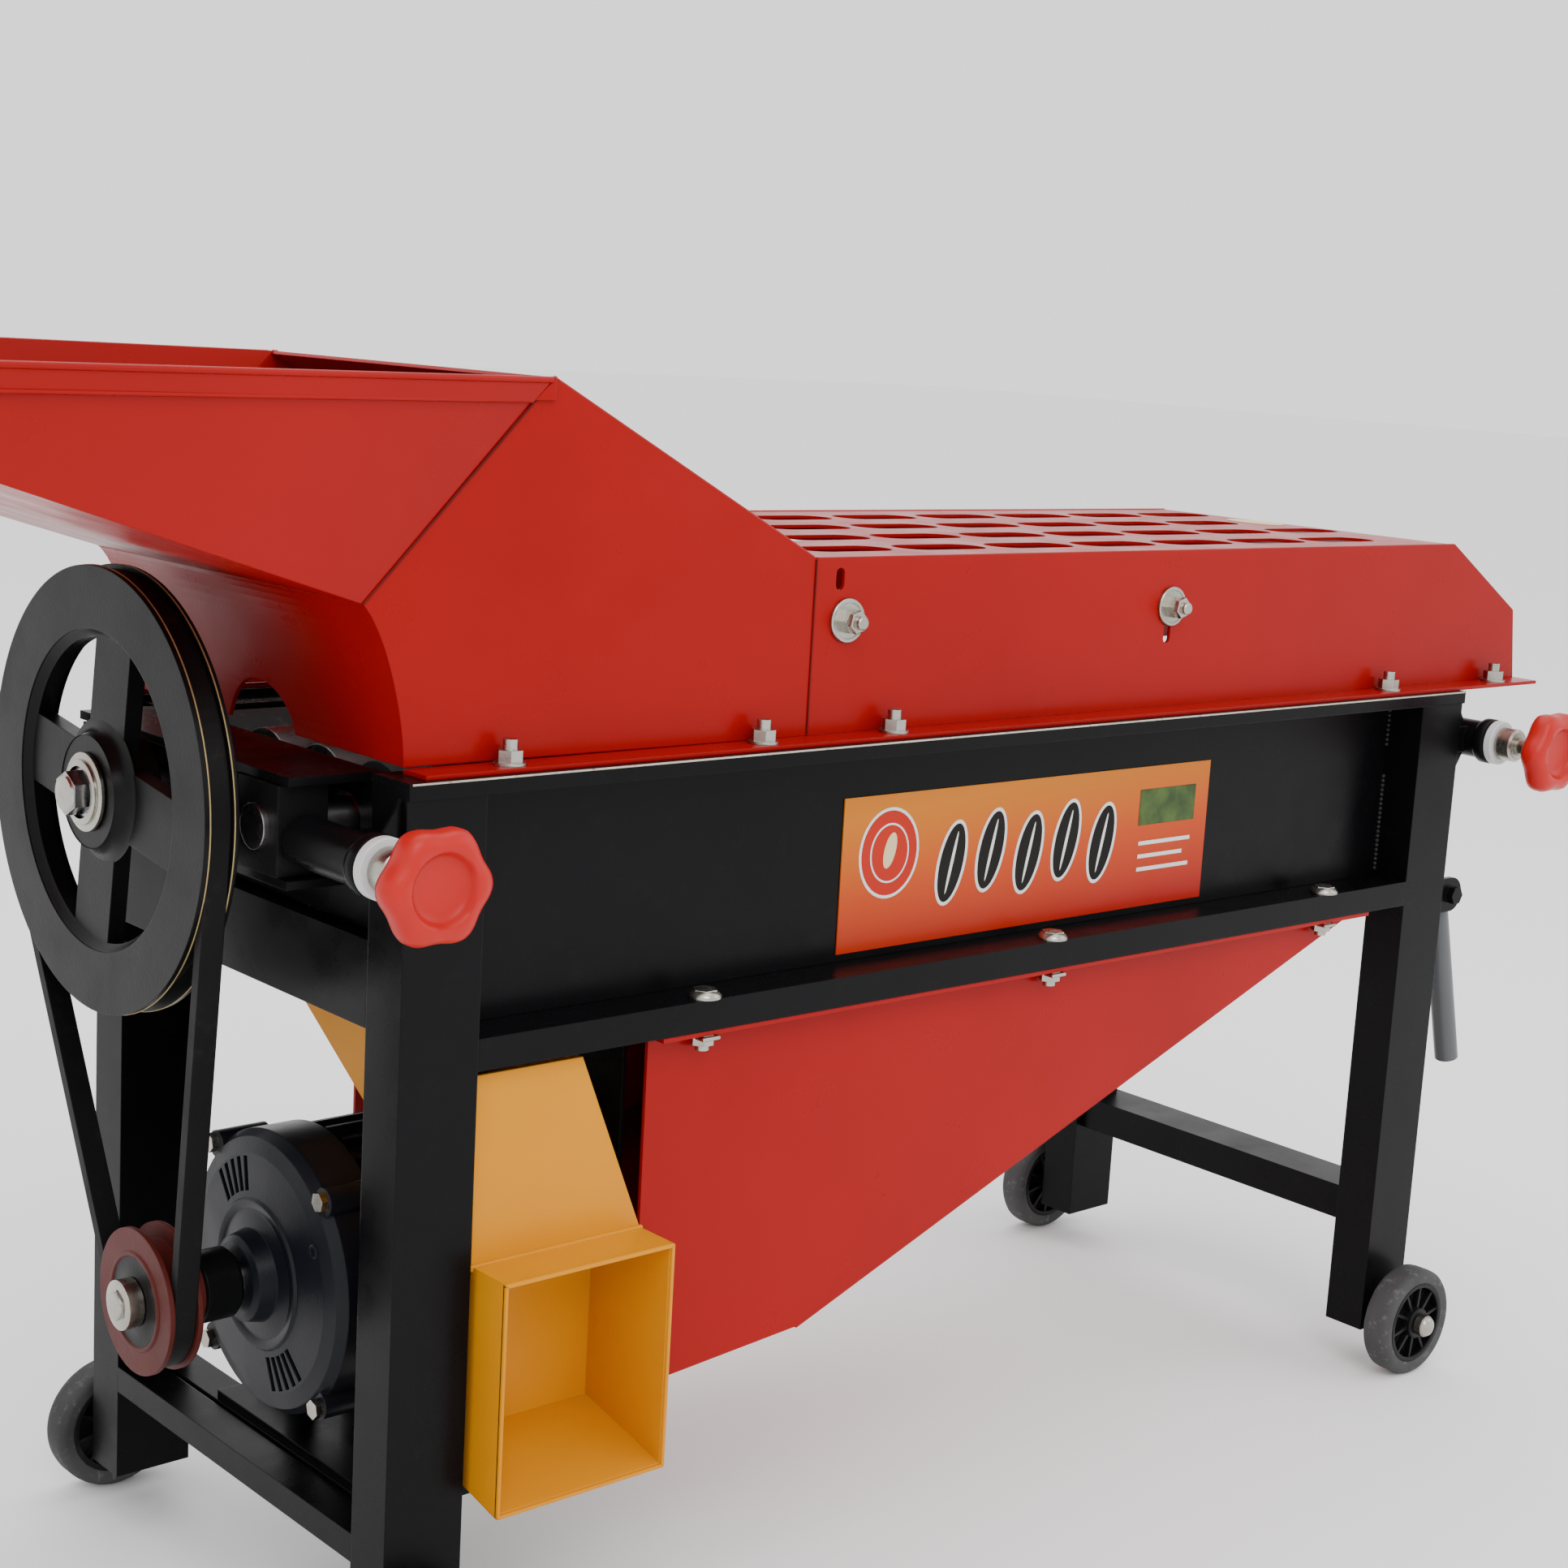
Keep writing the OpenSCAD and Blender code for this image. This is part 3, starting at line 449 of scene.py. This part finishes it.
def wheel(name, x, side):
    """A solid rubber tread on a ribbed plastic hub."""
    out = -1 if side == "front" else 1
    y_in = -13 if side == "front" else 423
    origin, axis = P(x, y_in, WHEEL_Z), (0, out, 0)
    ribs = 10
    bm = bmesh.new()
    tyre = [(37.5, 3), (44, 1.2), (47.2, 2.2), (49.4, 5), (50, 9), (50, 21), (49.4, 25),
            (47.2, 27.8), (44, 28.8), (37.5, 27), (37.5, 3)]
    add_lathe(bm, tyre, origin, axis, 96)
    piece(name + "_tread", bm, "tread", name, smooth=35)

    bm = bmesh.new()
    for face, flip in ((30.0, 1), (0.0, -1)):
        add_lathe(bm, [(6.2, face), (13.2, face), (14.4, face - 1.2 * flip), (14.4, face - 11 * flip),
                       (33.2, face - 11 * flip), (33.2, face - 3.4 * flip), (34, face - 2.6 * flip),
                       (37.4, face - 2.6 * flip), (37.4, face - 15 * flip)], origin, axis, 72)
        for k in range(ribs):
            a = 2 * math.pi * k / ribs + 0.2
            c, s = math.cos(a), math.sin(a)
            y0, y1 = y_in + out * (face - 4.2 * flip), y_in + out * (face - 12 * flip)
            corners = []
            for r, w in ((13.6, -1.5), (33.6, -1.2), (33.6, 1.2), (13.6, 1.5)):
                corners.append(P(x + r * c - w * s, min(y0, y1), WHEEL_Z + r * s + w * c))
            add_prism(bm, corners, (0, abs(y1 - y0) * MM, 0))
    obj = piece(name + "_hub", bm, "hub", name, smooth=35)
    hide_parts(name)


for side in ("front", "rear"):
    for end, x in WHEEL_X.items():
        wheel(f"wheel_{side}_{end}", x, side)

# domed heads of the axle bolts
bm = bmesh.new()
for y, out in ((-51, -1), (461, 1)):
    for x in WHEEL_X.values():
        add_lathe(bm, [(9.5, 0), (9.2, 1.6), (7.6, 3.6), (4.4, 4.9), (0, 5.4)],
                  P(x, y, WHEEL_Z), (0, out, 0), 32)
piece("axle_bolt_domes", bm, "zinc", "stand", smooth=50)


# ---------------------------------------------------------------- drive

# painted highlights: bright brass-coloured lines on the rims of the big pulley's groove, where the light
# catches them
for name, x in (("drive_pulley_highlight_front", -84.6), ("drive_pulley_highlight_rear", -67.4)):
    bm = bmesh.new()
    add_lathe(bm, [(149.4, 0), (150.3, 0), (150.3, 0.9), (149.4, 0.9), (149.4, 0)],
              P(x, DRIVE_Y, DRIVE_Z), (1, 0, 0), 160)
    piece(name, bm, "flange_highlight", "main_roller", smooth=40)

# two turned washers behind the shaft bolt and the chamfer on its head
bm = bmesh.new()
washers = [(17.6, 0), (25, 0), (26.5, 1.2), (26.5, 3.4), (25, 4.4), (22, 4.4), (22, 6.2), (21, 7), (17.6, 7)]
add_lathe(bm, washers, P(-92, DRIVE_Y, DRIVE_Z), (-1, 0, 0), 64)
piece("shaft_washer", bm, "zinc", "main_roller", smooth=40)
bm = bmesh.new()
add_lathe(bm, [(12.6, 0), (11.6, 1.6), (6, 2.2), (0, 2.2)], P(-108, DRIVE_Y, DRIVE_Z), (-1, 0, 0), 32)
piece("shaft_bolt_crown", bm, "zinc", "main_roller", smooth=50)

# hub and rim fillets of the big pulley
bm = bmesh.new()
add_lathe(bm, [(38, -0.5), (40, 6), (43.5, 9.6), (49, 10.2)], P(-92, DRIVE_Y, DRIVE_Z), (1, 0, 0), 72)
add_lathe(bm, [(108.4, 4.6), (106.5, 6.5), (104.5, 9.0), (102.8, 10.2)],
          P(-92, DRIVE_Y, DRIVE_Z), (1, 0, 0), 120)
piece("drive_pulley_fillets", bm, "pulley", "main_roller", smooth=60)

# motor pulley: a turned step, a dark ring of painted shade in the recess round the hub, and the nut on the
# shaft's end
bm = bmesh.new()
add_lathe(bm, [(30.5, 0.1), (31.5, 1.2), (33.5, 1.2), (34.5, 0.1)], P(-88, MOTOR_Y, MOTOR_Z), (-1, 0, 0), 64)
piece("motor_pulley_step", bm, "primer", "motor_rotor", smooth=30)
# painted shade: a thin dark disc on the pulley's face stands in for the shadow in the recess round the hub
bm = bmesh.new()
add_lathe(bm, [(14.5, 0.6), (20, 0.6), (21, 0.2), (30.4, 0.2)], P(-88, MOTOR_Y, MOTOR_Z), (-1, 0, 0), 64)
piece("motor_pulley_recess_shade", bm, "pulley", "motor_rotor", smooth=30)
bm = bmesh.new()
add_lathe(bm, [(0, 15.5), (8.5, 15.5), (9.5, 14.5), (9.5, 13), (14, 13), (17, 12), (17, 1.3), (14.5, 1.3)],
          P(-88, MOTOR_Y, MOTOR_Z), (-1, 0, 0), 48)
piece("motor_pulley_nut_cap", bm, "zinc", "motor_rotor", smooth=40)

# a raised ring round the boss of the motor's bell and a small plugged hole beside it
bm = bmesh.new()
add_lathe(bm, [(44, -1), (46.5, 2.4), (52, 2.8), (55, -0.5)], P(4.6, MOTOR_Y, MOTOR_Z), (-1, 0, 0), 72)
add_lathe(bm, [(5, 0), (5, 1), (3.4, 1.6), (3.2, 0.4), (0, 0.4)], P(6, 105, 300), (-1, 0, 0), 24)
piece("motor_bell_ring", bm, "motor", "stand", smooth=50)

# drive hub behind the motor pulley
bm = bmesh.new()
add_lathe(bm, [(14.3, 0), (23, 0), (24.6, 1.6), (24.6, 26), (22, 29), (14.3, 29)],
          P(-47.6, MOTOR_Y, MOTOR_Z), (1, 0, 0), 56)
piece("motor_pulley_collar", bm, "pulley", "motor_rotor", smooth=40)


# ---------------------------------------------------------------- stand details

# painted highlight: a bright line on the folded top edge of each side panel, where the light catches the
# fold
for name, y in (("front_edge_highlight", -2.75), ("rear_edge_highlight", 412.75)):
    bm = bmesh.new()
    add_box(bm, (2, y - 0.3, 636.6), (1128, y + 0.3, 637.9))
    piece(name, bm, "bright", "stand")

# weld beads where panels, beams and rails meet the legs
bm = bmesh.new()
bead_pitch = 0.0042
beads = []
for mirror_y in (False, True):
    def at(x, y, z):
        return P(x, DEPTH - y if mirror_y else y, z)
    for x in (60.8, 1069.2):
        beads.append((at(x, 35.2, 470), at(x, 35.2, 560), 2.2))
        beads.append((at(x, 35.2, 585), at(x, 35.2, 625), 2.0))
    for x in (20, 1110):
        for z in (471, 531):
            beads.append((at(x - 14, 41, z), at(x + 14, 41, z), 2.2))
    for x in (60.5, 1069.5):
        beads.append((at(x, 4, 443), at(x, 30, 443), 2.0))
for a, b, r in beads:
    n = max(3, int((b - a).length / bead_pitch))
    for k in range(n):
        c = a.lerp(b, (k + 0.5) / n)
        made = bmesh.ops.create_icosphere(bm, subdivisions=1, radius=r * MM)
        bmesh.ops.translate(bm, verts=made["verts"], vec=c)
piece("weld_beads", bm, "weld", "stand", smooth=80)

# stiffening plates and end collars of the adjuster tubes
bm = bmesh.new()
for x in SCREW_X.values():
    for y, out in ((-18.2, 1), (428.2, -1)):
        add_lathe(bm, [(8.6, 0), (19.5, 0), (20.4, 1.4), (20.4, 9), (18.8, 11.5), (17.05, 12)],
                  P(x, y, SCREW_Z), (0, out, 0), 40)
for x0, x1 in ((-16, -0.2), (1130.2, 1146)):
    near, far = (x0, x1) if x0 < 0 else (x1, x0)
    for y in (5, 402):
        add_prism(bm, [P(near, y, 604), P(far, y, 628), P(far, y, 556), P(near, y, 580)], (0, 3 * MM, 0))
piece("adjuster_collars", bm, "black", "stand", smooth=40)

# round bolt heads on the tops of the rails
bm = bmesh.new()
for y in (9, 401):
    for x in RAIL_BOLT_X:
        add_lathe(bm, [(12, 0), (12, 1.8), (10, 4.2), (6, 6.4), (0, 7.4)], P(x, y, 466), (0, 0, 1), 28)
piece("rail_bolt_heads", bm, "zinc", "stand", smooth=50)

# bent clips that hold the tray's flange under the rails
bm = bmesh.new()
for y0, y1 in ((-2, 14), (396, 412)):
    for x in RAIL_BOLT_X:
        add_box(bm, (x - 8, y0, 436.5), (x + 8, y1, 439.5))
piece("rail_clips", bm, "zinc", "stand", bevel=0.0012)

# bolt and washer beside the chute's inlet
bm = bmesh.new()
add_lathe(bm, [(11, 0), (11, 2), (0, 2)], P(62, 24, 428), (-1, 0, 0), 32)
add_hex(bm, P(60, 24, 428), (-1, 0, 0), 14, 6)
piece("chute_tab_bolt", bm, "zinc", "stand", smooth=30)

# chute: turned-in edge round the mouth and a folded lip on the slope
bm = bmesh.new()
for a, b in (((66, -32.4, 305.2), (206, -28, 308.4)), ((66, -32.4, 145), (68.4, -28, 308)),
             ((203.6, -32.4, 145), (206.4, -28, 308)), ((66, -32.4, 144.6), (206, -28, 147.2))):
    add_box(bm, a, b)
piece("chute_mouth_hem", bm, "yellow", "stand", bevel=0.001)
bm = bmesh.new()
add_box(bm, (64, 5.4, 304.6), (208, 9.2, 309.4))
piece("chute_fold", bm, "yellow", "stand", bevel=0.0016)


# ---------------------------------------------------------------- red sheet details

# the sealed seams between hopper and throat, and between throat and cover
bm = bmesh.new()
for y in (29.6, 380.4):
    rod(bm, P(-17, y, 746), P(119, y, 886), 0.9)
    rod(bm, P(355, y, 642), P(355, y, 767.5), 0.8)
rod(bm, P(355, 31, 768), P(355, 379, 768), 0.9)
piece("sheet_seams", bm, "seam", "stand", smooth=60)

# folded edges along the tops of the throat and the cover
bm = bmesh.new()
for y in (31.6, 378.4):
    rod(bm, P(121, y, 887.2), P(353, y, 768.4), 1.8)
    rod(bm, P(357, y, 767.4), P(1137, y, 767.4), 1.5)
    rod(bm, P(1138, y, 767.2), P(1242.4, y, 704.8), 1.5)
piece("sheet_folds", bm, "red", "stand", smooth=60)

# rolled edge along the hopper's rim and the fold under its band
bm = bmesh.new()
for side in (-1, 1):
    def at(x, lean, z):
        return P(x, 205 + side * (175 + lean), z)
    rod(bm, at(-430, 102.4, 886.2), at(117, 2.4, 886.2), 2.2, 16)
    rod(bm, at(-430, 100.6, 872.6), at(103, 1.6, 872.6), 1.5, 16)
rod(bm, P(-432, -70, 886.2), P(-432, 480, 886.2), 2.2, 16)
piece("hopper_rim_bead", bm, "red", "stand", smooth=60)

# corner gussets of the hopper's rim
bm = bmesh.new()
for y, s in ((30, 1), (380, -1)):
    gusset = [P(121, y - 3 * s, 889), P(104, y - 3 * s, 873), P(121, y - 3 * s, 873)]
    add_prism(bm, gusset, (0, 5 * s * MM, 0))
piece("hopper_corner_gussets", bm, "red", "stand", bevel=0.0008)

# washers, nuts and bolt ends of the press rods
bm = bmesh.new()
for x in PRESS_X:
    for y, out in ((30, -1), (380, 1)):
        add_lathe(bm, [(13.2, 3.2), (15.5, 3.2), (16.2, 2.4), (16.2, 0.1)],
                  P(x, y, PRESS_Z), (0, out, 0), 48)
        nut = P(x, y + out * 10, PRESS_Z)
        add_hex(bm, nut, (0, out, 0), 15, 5, 0.3)
        add_lathe(bm, [(5, 5), (5, 8.5), (4, 9.5), (0, 9.5)], nut, (0, out, 0), 24)
piece("press_rod_washers", bm, "zinc", "stand", smooth=35)

# stickers on the cover: a blank white strip and a blank pale oval
bm = bmesh.new()
add_box(bm, (396, 142, COVER_TOP), (440, 190, COVER_TOP + 0.3))
piece("cover_strip", bm, "white", "stand")
bm = bmesh.new()
outline = []
for k in range(48):
    t = 2 * math.pi * k / 48
    outline.append(P(1116 + 19 * math.cos(t), 244 + 32 * math.sin(t), COVER_TOP + 0.05))
add_prism(bm, outline, (0, 0, 0.3 * MM))
piece("cover_oval_sticker", bm, "pale", "stand")


# ---------------------------------------------------------------- print on the side label

def print_shape(name, outline, mat, lift):
    """A flat printed shape on the label, its outline given in millimetres along X and Z."""
    bm = bmesh.new()
    add_prism(bm, [P(x, LABEL_FACE_Y - lift, z) for x, z in outline], (0, 0.12 * MM, 0))
    return piece(name, bm, mat, "stand")


def ellipse(cx, cz, rx, rz, n=40, tilt=0.0):
    """The outline of an oval about (cx, cz), leaning by tilt."""
    points = []
    c, s = math.cos(tilt), math.sin(tilt)
    for k in range(n):
        t = 2 * math.pi * k / n
        u, w = rx * math.cos(t), rz * math.sin(t)
        points.append((cx + u * c - w * s, cz + u * s + w * c))
    return points


print_shape("label_emblem_rim", ellipse(450, 545, 31, 35), "white", 0.2)
print_shape("label_emblem_disc", ellipse(450, 545, 28.5, 32.5), "red_ink", 0.4)
print_shape("label_emblem_ring", ellipse(450, 545, 20, 23), "white", 0.6)
print_shape("label_emblem_core", ellipse(450, 545, 18.4, 21.4), "red_ink", 0.8)
print_shape("label_emblem_ear", ellipse(450, 547, 6, 14, tilt=-0.25), "pale", 1.0)
for k in range(5):
    cx = 517 + 43 * k
    z = 533 + (4 if k % 2 else -2)
    print_shape(f"label_leaf_{k}_edge", ellipse(cx, z, 15.5, 34, tilt=-0.22), "white", 0.2)
    print_shape(f"label_leaf_{k}", ellipse(cx, z, 12.5, 31, tilt=-0.22), "ink", 0.4)
    print_shape(f"label_leaf_{k}_vein", ellipse(cx, z, 1.6, 25, 16, tilt=-0.22), "white", 0.6)
print_shape("label_picture", [(733, 541), (803, 541), (803, 571), (733, 571)], "green", 0.3)
for k in range(3):
    x0, x1 = 735, 800 - 9 * (k % 2)
    z0, z1 = 524 - 11 * k, 527.4 - 11 * k
    print_shape(f"label_rule_{k}", [(x0, z0), (x1, z0), (x1, z1), (x0, z1)], "white", 0.3)


# ---------------------------------------------------------------- stage, light and camera

def plane(name, size, colour):
    """A square sheet at floor level, size metres on a side, that belongs to the stage."""
    mesh = bpy.data.meshes.new(name)
    bm = bmesh.new()
    bmesh.ops.create_grid(bm, x_segments=1, y_segments=1, size=size / 2)
    bm.to_mesh(mesh)
    bm.free()
    obj = bpy.data.objects.new(name, mesh)
    bpy.context.scene.collection.objects.link(obj)
    mat, tree, bsdf = new_material(name + "_finish")
    bsdf.inputs["Base Color"].default_value = (*colour, 1)
    bsdf.inputs["Roughness"].default_value = 0.9
    mesh.materials.append(mat)
    return obj


plane("floor", 60, (0.93, 0.93, 0.93))

world = bpy.data.worlds.new("studio")
bpy.context.scene.world = world
world.use_nodes = True
background = world.node_tree.nodes["Background"]
background.inputs["Color"].default_value = (1.0, 1.0, 1.0, 1)
background.inputs["Strength"].default_value = 1.5


def area(name, place, target, size, power, colour=(1, 1, 1)):
    """A soft rectangular light at place that faces target."""
    data = bpy.data.lights.new(name, "AREA")
    data.shape = "RECTANGLE"
    data.size, data.size_y = size
    data.energy = power
    data.color = colour
    obj = bpy.data.objects.new(name, data)
    bpy.context.scene.collection.objects.link(obj)
    obj.location = place
    obj.rotation_euler = (Vector(target) - Vector(place)).to_track_quat("-Z", "Y").to_euler()
    return obj


area("key", (-1.4, -3.2, 3.6), (0, 0, 0.5), (2.6, 2.6), 85)
area("fill", (3.0, -2.2, 2.2), (0.2, 0, 0.5), (2.4, 2.4), 20)
area("top", (0.2, 0.6, 3.8), (0, 0, 0.4), (3.2, 3.2), 50)

camera_data = bpy.data.cameras.new("camera")
camera = bpy.data.objects.new("camera", camera_data)
bpy.context.scene.collection.objects.link(camera)
bpy.context.scene.camera = camera
yaw, pitch, roll = math.radians(42.7), math.radians(10.24), math.radians(3.48)
forward = Vector((math.sin(yaw) * math.cos(pitch), math.cos(yaw) * math.cos(pitch), -math.sin(pitch)))
right = Vector((math.cos(yaw), -math.sin(yaw), 0))
up = right.cross(forward)
right_r = right * math.cos(roll) + up * math.sin(roll)
up_r = -right * math.sin(roll) + up * math.cos(roll)
axes = Matrix((right_r, up_r, -forward)).transposed().to_4x4()
camera.matrix_world = Matrix.Translation(P(-860.5, -1315, 932)) @ axes
camera_data.sensor_width = 36
camera_data.lens = 58.8
camera_data.shift_x = -0.029
camera_data.shift_y = 0.002
camera_data.clip_end = 100
